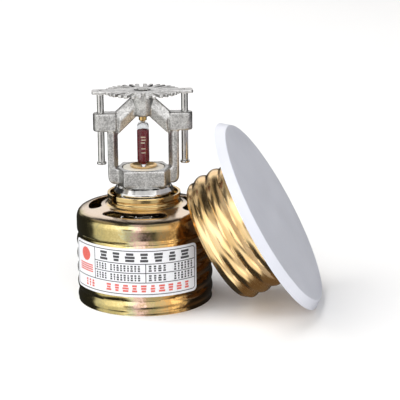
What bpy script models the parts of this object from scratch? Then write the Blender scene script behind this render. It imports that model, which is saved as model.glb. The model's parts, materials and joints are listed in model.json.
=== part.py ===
"""Concealed fire sprinkler head standing in its support cup, with its cover plate assembly leaning on the cup.

Lengths are written in millimetres and turned into metres by MM. Heights in the profiles are measured from the
surface that the cup stands on. The origin is at the middle of the whole object's footprint.
"""

import math

import bmesh
import bpy
from mathutils import Vector

MM = 0.001

# --- driving dimensions, in millimetres ---
CUP_AXIS = (-22.90, 14.12)          # the cup's and the head's common vertical axis
ROUND_STEPS = 40                    # facets round the large turned pieces
SMALL_STEPS = 20                    # facets round the small turned pieces
GAP = 0.3                           # room kept between touching pieces

CUP_RADIUS = 28.45                  # crest of the rolled thread
CUP_ROOT = 27.6                     # bottom of the thread's groove
CUP_BORE = 26.55
CUP_TOP = 40.75                     # top face beside the neck
CUP_THREAD_PITCH = 6.0
CUP_FIRST_CREST = 7.3
CUP_CRESTS = 4
SHEET = 1.0
NECK_RADIUS = 15.25
NECK_TOP = 45.4
SEAT_BORE = 10.95                   # the ledge inside the neck that carries the head
SEAT_TOP = 40.6
SLOT_INNER = 17.0
SLOT_OUTER = 23.2
SLOT_ANGLES = ((-144, -66), (-234, -166), (-36, 36), (56, 114))
NECK_SLIT_ANGLE = -135.5
NECK_SLIT_WIDTH = 2.6

LABEL_RADIUS = CUP_RADIUS + GAP
LABEL_THICKNESS = 0.3
LABEL_HEIGHTS = (8.4, 28.7)
LABEL_ANGLES = (-164.0, -46.0)

BODY_BORE = 6.4
NIPPLE_END = 29.5
NIPPLE_RADIUS = 10.5
SHOULDER_RADIUS = 11.8
SHOULDER_BOTTOM = SEAT_TOP + GAP
FLANGE_RADIUS = 12.4
FLANGE_BOTTOM = NECK_TOP + GAP
HEX_BOTTOM = 48.7
HEX_TOP = 55.9
HEX_HALF_FLAT = 9.5                 # half of the distance across the wrench flats
HEX_FLAT_HALF_LENGTH = 8.5
HEX_HALF_POINT = 11.3
COUNTERBORE_RADIUS = 9.0
COUNTERBORE_FLOOR = 54.6

LEG_INNER = 10.4
LEG_OUTER = 14.7
YOKE_DEPTH = 5.8
PIN_X = 17.27                       # guide pin axes, either side of the middle
EAR_RADIUS = 3.2
EAR_BOTTOM = 71.3
EAR_TOP = 78.9
BOSS_BOTTOM = 77.1
BOSS_TOP = 86.5
BOSS_RADII = (3.45, 4.4)            # at the bottom and at the top
SCREW_BORE = 2.65

PIN_RADIUS = 1.28
PIN_HEAD_RADIUS = 2.1
PIN_HEAD_BOTTOM = 57.2
PIN_HEAD_TOP = 58.5
DEFLECTOR_BOTTOM = BOSS_TOP + GAP
DEFLECTOR_THICKNESS = 1.2
DEFLECTOR_RADIUS = 15.5
DEFLECTOR_TIP = 20.7
DEFLECTOR_PAD = 3.2                 # half the width of the pads that carry the pins

BULB_RADIUS = 2.5
BULB_BOTTOM = 55.7
BULB_TOP = 74.9
GLASS = 0.4

RIM_RADIUS = 42.88                  # cover plate, outer edge
FACE_RADIUS = 40.13                 # cover plate, where the flat face meets the bevel
FACE_HEIGHT = 3.44
SLEEVE_RADIUS = 27.4                # crests of the sleeve's rolled thread
SLEEVE_ROOT = 26.2
SLEEVE_BORE = 25.2
SLEEVE_TOP = 0.9                    # its flange, under the plate
SLEEVE_MOUTH = -23.5
SLEEVE_PITCH = 5.9
SLEEVE_FIRST_ROOT = -7.6
SLEEVE_ROOTS = 3
FLANGE_INNER = 21.0
COVER_CENTRE = (50.10, -14.70)      # from the cup's axis
COVER_LEAN = 60.46                  # degrees from lying flat
COVER_TURN = -13.06                 # degrees about the vertical
PAD_RING = 23.6                     # circle of the solder pads
PAD_RADIUS = 1.3
PAD_TOP = 2.5

PARTS = "concealed_sprinkler_head"
CUTTERS = "cutters"


# --- scene and material helpers ---
def clear_scene():
    for obj in list(bpy.data.objects):
        bpy.data.objects.remove(obj, do_unlink=True)


def collection(name):
    found = bpy.data.collections.get(name)
    if found is None:
        found = bpy.data.collections.new(name)
        bpy.context.scene.collection.children.link(found)
    return found


def material(name, colour, metallic, roughness):
    mat = bpy.data.materials.get(name)
    if mat is None:
        mat = bpy.data.materials.new(name)
        mat.use_nodes = True
        shader = mat.node_tree.nodes["Principled BSDF"]
        shader.inputs["Base Color"].default_value = (*colour, 1.0)
        shader.inputs["Metallic"].default_value = metallic
        shader.inputs["Roughness"].default_value = roughness
    return mat


def zinc():
    return material("yellow_zinc_steel", (0.62, 0.50, 0.24), 1.0, 0.25)


def nickel():
    return material("cast_nickel", (0.62, 0.62, 0.61), 1.0, 0.42)


def brass():
    return material("polished_brass", (0.80, 0.58, 0.26), 1.0, 0.18)


def add_object(name, mesh, group, parent=None):
    obj = bpy.data.objects.new(name, mesh)
    collection(group).objects.link(obj)
    obj.parent = parent
    return obj


def empty(name, place, rotation=(0.0, 0.0, 0.0), parent=None):
    obj = bpy.data.objects.new(name, None)
    obj.location = Vector(place) * MM
    obj.rotation_euler = [math.radians(angle) for angle in rotation]
    collection(PARTS).objects.link(obj)
    obj.parent = parent
    return obj


def finish_part(obj, mat):
    obj.data.materials.clear()
    obj.data.materials.append(mat)
    return obj


def hide_cutter(obj):
    obj.hide_render = True
    obj.display_type = "WIRE"
    return obj


# --- shape helpers ---
def arc(cx, cz, radius, start, end, steps):
    """Points of an arc from start to end, in degrees, both ends included."""
    span = end - start
    angles = [math.radians(start + span * i / steps) for i in range(steps + 1)]
    return [(cx + radius * math.cos(a), cz + radius * math.sin(a)) for a in angles]


def turned(name, profile, group, closed=False, steps=ROUND_STEPS, parent=None):
    """A profile of (radius, height) points, turned about Z with a Screw modifier."""
    mesh = bpy.data.meshes.new(name)
    points = [(r * MM, 0.0, z * MM) for r, z in profile]
    edges = [(i, i + 1) for i in range(len(points) - 1)]
    if closed:
        edges.append((len(points) - 1, 0))
    mesh.from_pydata(points, edges, [])
    obj = add_object(name, mesh, group, parent)
    screw = obj.modifiers.new("turn", "SCREW")
    screw.axis = "Z"
    screw.steps = steps
    screw.render_steps = steps
    screw.use_smooth_shade = True
    screw.use_merge_vertices = True
    screw.merge_threshold = 0.00001
    return obj


def plate(name, outlines, bottom, top, group, upright=False, parent=None):
    """Closed outlines, the first the outer one, filled and extruded between two heights."""
    curve = bpy.data.curves.new(name, "CURVE")
    curve.dimensions = "2D"
    curve.fill_mode = "BOTH"
    curve.extrude = (top - bottom) / 2.0 * MM
    for outline in outlines:
        spline = curve.splines.new("POLY")
        spline.points.add(len(outline) - 1)
        for point, (x, y) in zip(spline.points, outline):
            point.co = (x * MM, y * MM, 0.0, 1.0)
        spline.use_cyclic_u = True
    flat = bpy.data.objects.new(name + "_outline", curve)
    collection(group).objects.link(flat)
    flat.parent = parent
    middle = (bottom + top) / 2.0 * MM
    if upright:
        flat.rotation_euler = (math.radians(90.0), 0.0, 0.0)
        flat.location = (0.0, middle, 0.0)
    else:
        flat.location = (0.0, 0.0, middle)
    bpy.context.view_layer.update()
    evaluated = flat.evaluated_get(bpy.context.evaluated_depsgraph_get())
    mesh = bpy.data.meshes.new_from_object(evaluated)
    mesh.name = name
    work = bmesh.new()
    work.from_mesh(mesh)
    bmesh.ops.remove_doubles(work, verts=work.verts, dist=0.00001)
    work.to_mesh(mesh)
    work.free()
    obj = add_object(name, mesh, group, parent)
    obj.matrix_world = flat.matrix_world
    bpy.data.objects.remove(flat, do_unlink=True)
    return obj


def box(name, size, centre, turn, group, parent=None):
    """A box turned by so many degrees about Z through its parent's axis."""
    mesh = bpy.data.meshes.new(name)
    work = bmesh.new()
    bmesh.ops.create_cube(work, size=1.0)
    bmesh.ops.scale(work, vec=Vector(size) * MM, verts=work.verts)
    bmesh.ops.translate(work, vec=Vector(centre) * MM, verts=work.verts)
    work.to_mesh(mesh)
    work.free()
    obj = add_object(name, mesh, group, parent)
    obj.rotation_euler = (0.0, 0.0, math.radians(turn))
    return obj


def combine(obj, other, operation):
    step = obj.modifiers.new(operation.lower() + "_" + other.name, "BOOLEAN")
    step.operation = operation
    step.solver = "EXACT"
    step.object = hide_cutter(other)


def smooth(obj, angle=35.0):
    obj.data.shade_smooth()
    obj.data.set_sharp_from_angle(angle=math.radians(angle))


def polar(radius, degrees):
    return (radius * math.cos(math.radians(degrees)), radius * math.sin(math.radians(degrees)))


def sector(inner, outer, start, end, steps):
    """A curved slot's outline with round ends."""
    end_radius = (outer - inner) / 2.0
    middle = (outer + inner) / 2.0
    trim = math.degrees(end_radius / middle)
    low = start + trim
    high = end - trim
    outline = arc(0.0, 0.0, outer, low, high, steps)
    cx, cy = polar(middle, high)
    outline += arc(cx, cy, end_radius, high, high + 180.0, 4)[1:]
    outline += arc(0.0, 0.0, inner, high, low, steps)[1:]
    cx, cy = polar(middle, low)
    outline += arc(cx, cy, end_radius, low + 180.0, low + 360.0, 4)[1:-1]
    return outline


# --- the support cup and its label ---
def make_support_cup(axis):
    outer = [
        (NECK_RADIUS - 0.4, NECK_TOP),
        (NECK_RADIUS, NECK_TOP - 0.4),
        (NECK_RADIUS + 0.05, 43.4),
        (NECK_RADIUS - 0.4, 42.6),
        (NECK_RADIUS + 0.1, 41.8),
        (NECK_RADIUS + 0.9, CUP_TOP + 0.1),
        (26.1, 39.3),
        (27.6, 37.9),
        (28.3, 35.6),
        (28.35, 30.4),
    ]
    top_crest = CUP_FIRST_CREST + CUP_THREAD_PITCH * (CUP_CRESTS - 1)
    for turn in range(CUP_CRESTS):
        crest = top_crest - CUP_THREAD_PITCH * turn
        outer.append((CUP_ROOT, crest + CUP_THREAD_PITCH / 2.0))
        outer.append((CUP_RADIUS, crest))
    outer += [(CUP_ROOT, 4.4), (CUP_RADIUS + 0.05, 2.2), (28.1, 0.0)]
    inner = [
        (27.1, 0.0),
        (CUP_BORE, 2.2),
        (CUP_BORE, 35.6),
        (25.7, 38.0),
        (15.2, 39.5),
        (SEAT_BORE, 39.5),
        (SEAT_BORE, SEAT_TOP),
        (13.4, SEAT_TOP),
        (NECK_RADIUS - 1.0, 41.6),
        (NECK_RADIUS - 1.4, 42.6),
        (NECK_RADIUS - 1.0, 43.6),
        (NECK_RADIUS - 1.0, NECK_TOP),
    ]
    cup = turned("support_cup", outer + inner, PARTS, closed=True, parent=axis)
    for number, (start, end) in enumerate(SLOT_ANGLES):
        outline = sector(SLOT_INNER, SLOT_OUTER, start, end, 6)
        cutter = plate(f"vent_{number}", [outline], 36.0, 42.5, CUTTERS, parent=axis)
        combine(cup, cutter, "DIFFERENCE")
    slit_size = (4.0, NECK_SLIT_WIDTH, 5.0)
    slit = box("neck_slit", slit_size, (14.6, 0.0, 44.0), NECK_SLIT_ANGLE, CUTTERS, axis)
    combine(cup, slit, "DIFFERENCE")
    return finish_part(cup, zinc())


def make_label(axis):
    """A sheet bent round the cup: an arc of its thickness, extruded between its two heights."""
    columns = 18
    inner = LABEL_RADIUS
    outer = LABEL_RADIUS + LABEL_THICKNESS
    low, high = LABEL_HEIGHTS
    start, end = LABEL_ANGLES
    outline = arc(0.0, 0.0, outer, start, end, columns)
    outline += arc(0.0, 0.0, inner, end, start, columns)
    label = plate("label", [outline], low, high, PARTS, parent=axis)
    return finish_part(label, material("label_paper", (0.9, 0.9, 0.88), 0.0, 0.45))


# --- the sprinkler's one-piece frame ---
def yoke_outline(side):
    """One leg with its sloping arm, as points (x, height)."""
    right = [(8.0, 54.0), (8.0, 49.1), (10.2, 48.9)]
    right += arc(10.2, 53.4, 4.5, -80.0, 0.0, 5)
    right += [(LEG_OUTER, EAR_TOP - 0.2), (11.1, EAR_TOP - 0.1), (5.2, 84.7), (2.0, 84.7)]
    right += [(2.0, 78.6), (4.0, 77.0), (LEG_INNER, 70.2), (LEG_INNER, 56.5), (9.6, 55.3)]
    return [(side * x, z) for x, z in right]


def make_frame(axis):
    body_profile = [
        (9.5, 50.0),
        (10.9, 50.0),
        (11.3, 48.2),
        (11.3, 47.2),
        (12.1, 46.8),
        (FLANGE_RADIUS, 46.4),
        (FLANGE_RADIUS, 46.0),
        (12.1, FLANGE_BOTTOM),
        (SHOULDER_RADIUS, FLANGE_BOTTOM),
        (SHOULDER_RADIUS, SHOULDER_BOTTOM),
        (NIPPLE_RADIUS, SHOULDER_BOTTOM),
        (NIPPLE_RADIUS - 0.1, 40.0),
        (NIPPLE_RADIUS - 0.4, 31.0),
        (NIPPLE_RADIUS - 1.3, NIPPLE_END),
        (8.0, NIPPLE_END),
    ]
    frame = turned("sprinkler_frame", body_profile, PARTS, closed=True, parent=axis)

    half_flat = HEX_FLAT_HALF_LENGTH
    corners = [(half_flat, -HEX_HALF_FLAT), (HEX_HALF_POINT, 0.0), (half_flat, HEX_HALF_FLAT)]
    hexagon = corners + [(-x, y) for x, y in reversed(corners)]
    wrench_hex = plate("wrench_hex", [hexagon], HEX_BOTTOM, HEX_TOP, CUTTERS, parent=axis)
    combine(frame, wrench_hex, "UNION")

    boss_profile = [
        (0.0, BOSS_TOP),
        (BOSS_RADII[1], BOSS_TOP),
        (BOSS_RADII[1], 85.0),
        (BOSS_RADII[0], BOSS_BOTTOM + 0.4),
        (BOSS_RADII[0] - 0.5, BOSS_BOTTOM),
        (0.0, BOSS_BOTTOM),
    ]
    boss = turned("boss", boss_profile, CUTTERS, steps=SMALL_STEPS, parent=axis)
    combine(frame, boss, "UNION")

    for side in (-1, 1):
        hand = "left" if side < 0 else "right"
        half = YOKE_DEPTH / 2.0
        yoke = plate(f"yoke_{hand}", [yoke_outline(side)], -half, half, CUTTERS, True, axis)
        combine(frame, yoke, "UNION")
        ends = arc(PIN_X, 0.0, EAR_RADIUS, -90.0, 90.0, 8)
        ear_plan = [(side * x, y) for x, y in [(11.2, -EAR_RADIUS)] + ends + [(11.2, EAR_RADIUS)]]
        ear = plate(f"ear_{hand}", [ear_plan], EAR_BOTTOM, EAR_TOP, CUTTERS, parent=axis)
        combine(frame, ear, "UNION")
        pin_bore = PIN_RADIUS + GAP
        bore = [(0.0, 80.0), (pin_bore, 80.0), (pin_bore, 70.0), (0.0, 70.0)]
        hole = turned(f"pin_bore_{hand}", bore, CUTTERS, steps=12, parent=axis)
        hole.location = (side * PIN_X * MM, 0.0, 0.0)
        combine(frame, hole, "DIFFERENCE")

    waterway = [
        (0.0, 58.0),
        (COUNTERBORE_RADIUS, 58.0),
        (COUNTERBORE_RADIUS, COUNTERBORE_FLOOR),
        (BODY_BORE, COUNTERBORE_FLOOR),
        (BODY_BORE, 28.0),
        (0.0, 28.0),
    ]
    combine(frame, turned("waterway", waterway, CUTTERS, parent=axis), "DIFFERENCE")
    tapped_hole = [(0.0, 88.0), (SCREW_BORE, 88.0), (SCREW_BORE, 78.3), (2.0, 77.6)]
    tapped_hole += [(2.0, 76.0), (0.0, 76.0)]
    thread = turned("tapped_hole", tapped_hole, CUTTERS, steps=SMALL_STEPS, parent=axis)
    combine(frame, thread, "DIFFERENCE")
    return finish_part(frame, nickel())


# --- the operating parts inside the frame ---
def make_compression_screw(axis):
    profile = [
        (0.0, 84.6),
        (2.05, 84.6),
        (2.3, 84.3),
        (2.3, 78.5),
        (1.67, 77.9),
        (1.67, 75.6),
        (1.3, 75.2),
        (0.0, 75.2),
    ]
    screw = turned("compression_screw", profile, PARTS, steps=SMALL_STEPS, parent=axis)
    slot = box("driver_slot", (6.0, 0.7, 1.6), (0.0, 0.0, 84.6), 30.0, CUTTERS, axis)
    combine(screw, slot, "DIFFERENCE")
    return finish_part(screw, brass())


def make_bulb(axis):
    """The glass is drawn out to an open tip at the bottom, and the liquid fills it to below its top."""
    inside = BULB_RADIUS - GLASS
    dome = arc(0.0, BULB_TOP - 2.1, 2.1, 75.0, 30.0, 3)
    outer = [(0.0, BULB_TOP)] + dome
    outer += [(BULB_RADIUS, 72.2), (BULB_RADIUS, 60.0), (2.1, 58.6), (1.15, 57.4), (0.75, BULB_BOTTOM)]
    inner = [(0.35, BULB_BOTTOM), (0.55, 57.4), (1.5, 58.8), (inside, 60.3), (inside, 72.0)]
    inner += [(1.4, 73.9), (0.0, BULB_TOP - GLASS)]
    glass = turned("bulb_glass", outer + inner, PARTS, steps=SMALL_STEPS, parent=axis)
    finish_part(glass, material("bulb_glass", (0.93, 0.95, 0.95), 0.0, 0.05))
    fill = inside - GAP
    column = [(0.0, 71.1), (fill, 71.1), (fill, 60.6), (1.1, 59.4), (0.0, 58.6)]
    liquid = turned("bulb_liquid", column, PARTS, steps=16, parent=axis)
    finish_part(liquid, material("bulb_liquid", (0.30, 0.02, 0.03), 0.0, 0.1))
    return glass


def make_valve(axis):
    """A dished cap that carries the bulb, on a coned spring washer with a sealing ring under it."""
    cap = [
        (0.0, 55.0),
        (1.0, 55.0),
        (1.35, 55.7),
        (1.9, 55.7),
        (2.6, 55.3),
        (4.2, 55.9),
        (5.4, 56.8),
        (5.65, 56.6),
        (5.6, 56.25),
        (4.5, 56.2),
        (4.4, 52.8),
        (3.9, 52.4),
        (0.0, 52.4),
    ]
    valve = turned("valve_cap", cap, PARTS, steps=24, parent=axis)
    finish_part(valve, brass())
    washer = [(4.8, 55.9), (8.6, 55.75), (8.6, 55.35), (4.8, 55.5)]
    spring = turned("spring_washer", washer, PARTS, closed=True, steps=32, parent=axis)
    finish_part(spring, material("coated_washer", (0.82, 0.78, 0.66), 0.0, 0.35))
    seal = [(6.8, 55.12), (8.3, 55.05), (8.3, 54.88), (6.8, 54.88)]
    ring = turned("sealing_ring", seal, PARTS, closed=True, steps=32, parent=axis)
    finish_part(ring, material("sealing_ptfe", (0.88, 0.88, 0.86), 0.0, 0.5))


# --- the deflector and its guide pins ---
def radial_cut(angle, width, inner, outer, steps):
    """A round-bottomed cut into a disc's edge, as points in the order met going counter-clockwise."""
    half = width / 2.0
    reach = math.sqrt(outer * outer - half * half)
    bottom = inner + half
    local = [(reach, -half)]
    local += arc(bottom, 0.0, half, 270.0, 90.0, steps)
    local += [(reach, half)]
    c = math.cos(math.radians(angle))
    s = math.sin(math.radians(angle))
    return [(x * c - y * s, x * s + y * c) for x, y in local]


def deflector_outline():
    """The right pad, the teeth up to the left pad, and both again turned by half a turn."""
    pad_root = math.degrees(math.asin(DEFLECTOR_PAD / DEFLECTOR_RADIUS))
    half = []
    half += arc(DEFLECTOR_TIP - 1.2, -DEFLECTOR_PAD + 1.2, 1.2, -90.0, 0.0, 3)
    half += arc(DEFLECTOR_TIP - 1.2, DEFLECTOR_PAD - 1.2, 1.2, 0.0, 90.0, 3)
    half.append(polar(DEFLECTOR_RADIUS, pad_root))
    for number in range(2, 15):
        angle = 11.25 * number
        deep = number % 2 == 0
        if deep:
            half += radial_cut(angle, 1.7, 7.5, DEFLECTOR_RADIUS, 4)
        else:
            half += radial_cut(angle, 1.2, 12.5, DEFLECTOR_RADIUS, 3)
    half.append(polar(DEFLECTOR_RADIUS, 180.0 - pad_root))
    return half + [(-x, -y) for x, y in half]


def make_deflector(axis):
    top = DEFLECTOR_BOTTOM + DEFLECTOR_THICKNESS
    holes = [arc(0.0, 0.0, 2.7, 0.0, 345.0, 23)]
    for side in (-1, 1):
        holes.append(arc(side * PIN_X, 0.0, 1.0 + GAP, 0.0, 330.0, 11))
    outlines = [deflector_outline()] + holes
    deflector = plate("deflector", outlines, DEFLECTOR_BOTTOM, top, PARTS, parent=axis)
    return finish_part(deflector, nickel())


def make_guide_pin(side, axis):
    hand = "left" if side < 0 else "right"
    under = DEFLECTOR_BOTTOM - GAP
    profile = [
        (0.0, under + DEFLECTOR_THICKNESS + GAP),
        (1.0, under + DEFLECTOR_THICKNESS + GAP),
        (1.0, under),
        (PIN_RADIUS, under),
        (PIN_RADIUS, PIN_HEAD_TOP + 0.2),
        (PIN_HEAD_RADIUS, PIN_HEAD_TOP - 0.3),
        (PIN_HEAD_RADIUS, PIN_HEAD_BOTTOM + 0.2),
        (PIN_HEAD_RADIUS - 0.2, PIN_HEAD_BOTTOM),
        (0.0, PIN_HEAD_BOTTOM),
    ]
    pin = turned(f"guide_pin_{hand}", profile, PARTS, steps=16, parent=axis)
    pin.location = (side * PIN_X * MM, 0.0, 0.0)
    return finish_part(pin, material("pin_steel", (0.66, 0.66, 0.65), 1.0, 0.22))


# --- the cover plate assembly ---
def make_cover_plate(axis):
    front = [
        (0.0, FACE_HEIGHT + 0.6),
        (20.0, FACE_HEIGHT + 0.45),
        (34.0, FACE_HEIGHT + 0.2),
        (FACE_RADIUS, FACE_HEIGHT),
        (RIM_RADIUS - 0.5, 0.45),
        (RIM_RADIUS, 0.0),
    ]
    back = [
        (RIM_RADIUS - 0.4, -0.3),
        (RIM_RADIUS - 1.6, 0.1),
        (FACE_RADIUS - 0.4, FACE_HEIGHT - 1.0),
        (20.0, FACE_HEIGHT - 0.55),
        (0.0, FACE_HEIGHT - 0.4),
    ]
    cover = turned("cover_plate", front + back, PARTS, steps=48, parent=axis)
    return finish_part(cover, material("white_paint", (0.86, 0.87, 0.92), 0.0, 0.35))


def make_cover_sleeve(axis):
    """A rolled sleeve, open at the mouth, with an inward flange under the plate."""
    shoulder = SLEEVE_RADIUS - 0.2
    outer = [(FLANGE_INNER, SLEEVE_TOP), (shoulder - 0.9, SLEEVE_TOP), (shoulder, 0.1), (shoulder, -5.6)]
    for turn in range(SLEEVE_ROOTS):
        root = SLEEVE_FIRST_ROOT - SLEEVE_PITCH * turn
        outer.append((SLEEVE_ROOT, root))
        outer.append((SLEEVE_RADIUS, root - SLEEVE_PITCH / 2.0))
    outer[-1] = (SLEEVE_RADIUS, SLEEVE_MOUTH + 1.8)
    outer += [(SLEEVE_ROOT, SLEEVE_MOUTH + 0.8), (SLEEVE_ROOT - 0.6, SLEEVE_MOUTH)]
    inner = [(SLEEVE_BORE - 0.4, SLEEVE_MOUTH), (SLEEVE_BORE, SLEEVE_MOUTH + 1.8)]
    inner += [(SLEEVE_BORE, -0.2), (FLANGE_INNER, 0.0)]
    sleeve = turned("cover_sleeve", outer + inner, PARTS, closed=True, parent=axis)
    return finish_part(sleeve, brass())


def make_solder_pads(axis):
    """Three pads of fusible metal that hold the plate to the sleeve."""
    bottom = SLEEVE_TOP + GAP
    for number in range(3):
        disc = [(0.0, PAD_TOP), (PAD_RADIUS, PAD_TOP), (PAD_RADIUS, bottom), (0.0, bottom)]
        pad = turned(f"solder_pad_{number + 1}", disc, PARTS, steps=16, parent=axis)
        x, y = polar(PAD_RING, 90.0 + 120.0 * number)
        pad.location = (x * MM, y * MM, 0.0)
        finish_part(pad, material("solder", (0.60, 0.60, 0.62), 1.0, 0.4))


def main():
    clear_scene()
    cup_axis = empty("cup_axis", (*CUP_AXIS, 0.0))
    make_support_cup(cup_axis)
    make_label(cup_axis)
    head_axis = empty("head_axis", (0.0, 0.0, 0.0), parent=cup_axis)
    make_frame(head_axis)
    make_compression_screw(head_axis)
    make_bulb(head_axis)
    make_valve(head_axis)
    deflector_axis = empty("deflector_axis", (0.0, 0.0, 0.0), parent=head_axis)
    make_deflector(deflector_axis)
    for side in (-1, 1):
        make_guide_pin(side, deflector_axis)

    rim_height = RIM_RADIUS * math.sin(math.radians(COVER_LEAN))
    cover_place = (*COVER_CENTRE, rim_height)
    cover_axis = empty("cover_axis", cover_place, (0.0, COVER_LEAN, COVER_TURN), cup_axis)
    make_cover_sleeve(cover_axis)
    release_axis = empty("release_axis", (0.0, 0.0, 0.0), parent=cover_axis)
    make_cover_plate(release_axis)
    make_solder_pads(release_axis)
    bpy.context.view_layer.update()
    for obj in collection(PARTS).objects:
        if obj.type == "MESH" and obj.name not in ("label",):
            smooth(obj)


main()
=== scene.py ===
"""Looks of a concealed fire sprinkler: the head stands in its support cup, and its cover leans on the cup.

Profiles are written in millimetres, with heights from the surface that the cup stands on; MM turns them into
metres. The cup and the head are built round the cup's axis, and the cover round its own axis.
"""

import json
import math

import bmesh
import bpy
from mathutils import Matrix, Vector


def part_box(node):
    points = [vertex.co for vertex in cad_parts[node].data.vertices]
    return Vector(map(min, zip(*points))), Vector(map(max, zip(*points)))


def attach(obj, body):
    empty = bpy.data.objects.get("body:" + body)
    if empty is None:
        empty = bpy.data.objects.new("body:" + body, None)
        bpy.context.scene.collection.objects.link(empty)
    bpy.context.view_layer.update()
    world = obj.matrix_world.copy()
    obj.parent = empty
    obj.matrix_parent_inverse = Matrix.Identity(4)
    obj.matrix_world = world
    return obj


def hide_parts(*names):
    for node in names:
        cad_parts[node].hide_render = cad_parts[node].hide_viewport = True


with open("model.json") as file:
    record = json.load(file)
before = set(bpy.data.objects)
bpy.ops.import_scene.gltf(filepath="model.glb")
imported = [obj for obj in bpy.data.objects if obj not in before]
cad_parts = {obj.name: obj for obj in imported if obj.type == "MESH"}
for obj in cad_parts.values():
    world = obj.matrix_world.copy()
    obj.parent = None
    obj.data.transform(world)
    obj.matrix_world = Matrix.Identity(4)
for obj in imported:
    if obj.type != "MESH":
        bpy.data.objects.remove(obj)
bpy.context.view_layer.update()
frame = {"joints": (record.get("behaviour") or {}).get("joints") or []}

MM = 0.001

# --- driving dimensions, in millimetres; places come from the frame ---
SHEET = 1.0                     # thickness of the cup's steel
PITCH = 6.0                     # of both rolled threads
CUP_CREST = 28.45
CUP_THREAD_DEPTH = 0.9
CUP_CREST_HEIGHT = 4.6          # of a crest at +X, rising counter-clockwise
CUP_THREAD_TOP = 31.0
CONE_FOOT = (16.3, 40.5)        # where the cup's top meets its neck
CONE_SLOPE = 0.145
CUP_CORNER = 28.35
NECK_RADIUS = 15.25
NECK_TOP = 45.4
SLOT_RADII = (17.9, 23.2)
SLOT_ANGLES = ((-144, -66), (-234, -166), (-36, 36), (56, 114))
SLIT_ANGLE = -146.5
SLIT_WIDTH = 3.0
SLIT_BOTTOM = 42.2
SLOTTED_FROM = 39.0             # everything of the cup's slotted top is higher than this

LABEL_RADIUS = 28.78            # of the paper's back
LABEL_PAPER = 0.2               # thickness
LABEL_INK = 0.03
LABEL_FRONT = -90.0             # degrees, the direction that the label's middle line faces
LABEL_DEGREE = math.pi * LABEL_RADIUS / 180.0
LABEL_LEFT = -74.0 * LABEL_DEGREE
LABEL_RIGHT = 44.0 * LABEL_DEGREE
LABEL_LOW = 8.4
LABEL_HIGH = 28.7
LABEL_MARGIN = 1.1              # outside the printed frame
LABEL_LINE = 0.34               # width
LABEL_SPLIT = -46.5 * LABEL_DEGREE      # right of the emblem
LABEL_COLUMN = -1.6 * LABEL_DEGREE      # between the two columns of entries
LABEL_ROWS = (22.3, 18.4, 14.4)         # below the title, the first entries and the second

SLEEVE_CREST = 27.4
SLEEVE_THREAD_DEPTH = 1.2
SLEEVE_SHEET = 0.8
SLEEVE_MOUTH = -23.5
SLEEVE_LAST_VALLEY = (-98.0, -8.8)      # an angle, and the last valley's place there
SLEEVE_RUN_OUT = (80.0, 175.0)          # the angles between which that valley ends
PAD_MIDDLE = 1.85               # the solder pads' height over the plate's rim plane

PIN_X = 17.27
CASTING_VOXEL = 0.3


# --- places, read from the frame ---
def middle(node):
    low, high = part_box(node)
    return (low + high) / 2.0


def cup_place():
    """The cup's axis, on the surface that the cup stands on."""
    spot = middle("support_cup")
    return Matrix.Translation((spot.x, spot.y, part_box("support_cup")[0].z))


def cover_place():
    """The cover's axes: Z out of its face, X level towards the front, Y down its slope."""
    joint = next(j for j in frame["joints"] if j["name"] == "cover_away")
    out = Vector(joint["axis"]).normalized()
    level = out.cross(Vector((0.0, 0.0, 1.0))).normalized()
    down = out.cross(level)
    pads = [middle(f"solder_pad_{n}") for n in (1, 2, 3)]
    spot = (pads[0] + pads[1] + pads[2]) / 3.0 - out * PAD_MIDDLE * MM
    turn = Matrix((level, down, out)).transposed()
    return Matrix.Translation(spot) @ turn.to_4x4()


CUP = cup_place()
COVER = cover_place()
FLOOR = CUP.translation.z
FLOOR_SIZE = 18.0               # in metres


# --- small helpers for shapes ---
def smoothstep(low, high, value):
    t = min(max((value - low) / (high - low), 0.0), 1.0)
    return t * t * (3.0 - 2.0 * t)


def polar(radius, degrees):
    angle = math.radians(degrees)
    return (radius * math.cos(angle), radius * math.sin(angle))


def arc(cx, cy, radius, start, end, steps):
    turns = [start + (end - start) * i / steps for i in range(steps + 1)]
    return [(cx + polar(radius, a)[0], cy + polar(radius, a)[1]) for a in turns]


def rounded(points, closed=True, steps=5):
    """Straight runs between points (x, y, corner radius), each corner turned into a curve."""
    path = []
    count = len(points)
    for i, (x, y, radius) in enumerate(points):
        here = Vector((x, y))
        if radius <= 0.0 or (not closed and i in (0, count - 1)):
            path.append((x, y))
            continue
        before = Vector(points[i - 1][:2]) - here
        after = Vector(points[(i + 1) % count][:2]) - here
        half = max(before.angle(after) / 2.0, 0.05)
        reach = min(radius / math.tan(half), 0.48 * before.length, 0.48 * after.length)
        start = here + before.normalized() * reach
        end = here + after.normalized() * reach
        for k in range(steps + 1):
            t = k / steps
            spot = start * (1 - t) ** 2 + here * 2 * t * (1 - t) + end * t * t
            path.append((spot.x, spot.y))
    return path


def resampled(path, step):
    """The same open path with no gap between points longer than step."""
    fine = [path[0]]
    for (x0, y0), (x1, y1) in zip(path, path[1:]):
        parts = max(1, math.ceil(math.hypot(x1 - x0, y1 - y0) / step))
        fine += [(x0 + (x1 - x0) * k / parts, y0 + (y1 - y0) * k / parts) for k in range(1, parts + 1)]
    return fine


def mesh_from(verts, faces):
    mesh = bpy.data.meshes.new("shape")
    mesh.from_pydata([(x * MM, y * MM, z * MM) for x, y, z in verts], [], faces)
    mesh.update()
    return mesh


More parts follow.
